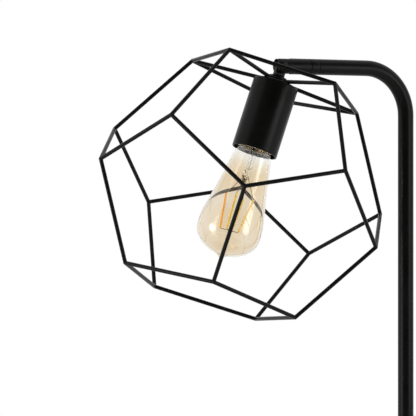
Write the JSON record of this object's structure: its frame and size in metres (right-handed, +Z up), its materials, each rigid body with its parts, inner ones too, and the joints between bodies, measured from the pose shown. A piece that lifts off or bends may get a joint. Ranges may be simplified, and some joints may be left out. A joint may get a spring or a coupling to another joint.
{
  "type": "wire cage floor lamp",
  "caption": "Black floor lamp: round weighted base, slim pole bent over into a short arm, and a tilting faceted wire cage round a pear-shaped amber bulb.",
  "frame": {"origin": "centre of the base on the floor", "axes": "+Z up along the pole, the arm reaches out along -X, +Y across the arm"},
  "size_m": [0.4565, 0.297, 1.5148],
  "materials": {
    "black_powder_coat": "satin",
    "cast_iron": "rough cast",
    "zinc_plated_steel": "satin",
    "black_rubber": "matt",
    "flex_sheath": "matt",
    "core_insulation": "matt",
    "tan_phenolic": "semi-gloss",
    "brass": "satin",
    "solder": "satin",
    "dark_cap_glass": "gloss",
    "nylon": "matt",
    "amber_glass": "clear, gloss",
    "clear_glass": "clear, gloss",
    "filament_coating": "matt",
    "support_wire": "satin"
  },
  "bodies": {
    "stand": {"base_cover": "black_powder_coat", "pole_collar": "black_powder_coat", "pole_lower": "black_powder_coat", "pole_middle": "black_powder_coat", "arm_tube": "black_powder_coat", "swivel_collar": "black_powder_coat", "swivel_clevis": "black_powder_coat", "pivot_screw": "black_powder_coat", "pivot_nut": "black_powder_coat", "base_weight": "cast_iron", "base_bottom_plate": "zinc_plated_steel", "base_stud": "zinc_plated_steel", "base_washer": "zinc_plated_steel", "base_nut": "zinc_plated_steel", "tube_inserts": "zinc_plated_steel", "joint_studs": "zinc_plated_steel", "arm_insert": "zinc_plated_steel", "swivel_stud": "zinc_plated_steel", "base_pad": "black_rubber", "cord_inlet": "black_rubber", "lamp_flex": "flex_sheath", "pivot_washers": "nylon"},
    "head": {"swivel_lug": "black_powder_coat", "cage_hub": "black_powder_coat", "cage_spokes": "black_powder_coat", "cage_top_ring": "black_powder_coat", "cage_upper_struts": "black_powder_coat", "cage_belt": "black_powder_coat", "cage_lower_struts": "black_powder_coat", "cage_bottom_ring": "black_powder_coat", "socket_sleeve": "black_powder_coat", "lock_washer": "zinc_plated_steel", "stem_nut": "zinc_plated_steel", "terminal_screws": "zinc_plated_steel", "socket_cap": "tan_phenolic", "socket_body": "tan_phenolic", "screw_shell": "brass", "centre_contact": "brass", "terminals": "brass", "head_flex": "flex_sheath", "flex_cores": "core_insulation"},
    "bulb": {"bulb_cap": "brass", "bulb_insulator": "dark_cap_glass", "bulb_contact": "solder", "bulb_glass": "amber_glass", "bulb_stem": "clear_glass", "filaments": "filament_coating", "support_wires": "support_wire", "end_wire": "support_wire"}
  },
  "joints": [
    {"name": "head_tilt", "type": "hinge", "parent": "stand", "child": "head", "pos_m": [-0.1475, 0, 1.5], "axis": [0, 1, 0], "range_deg": [-15, 70]},
    {"name": "bulb_out", "type": "slide", "parent": "head", "child": "bulb", "axis": [-0.3453, 0, -0.9385], "range_m": [0, 0.2]}
  ]
}
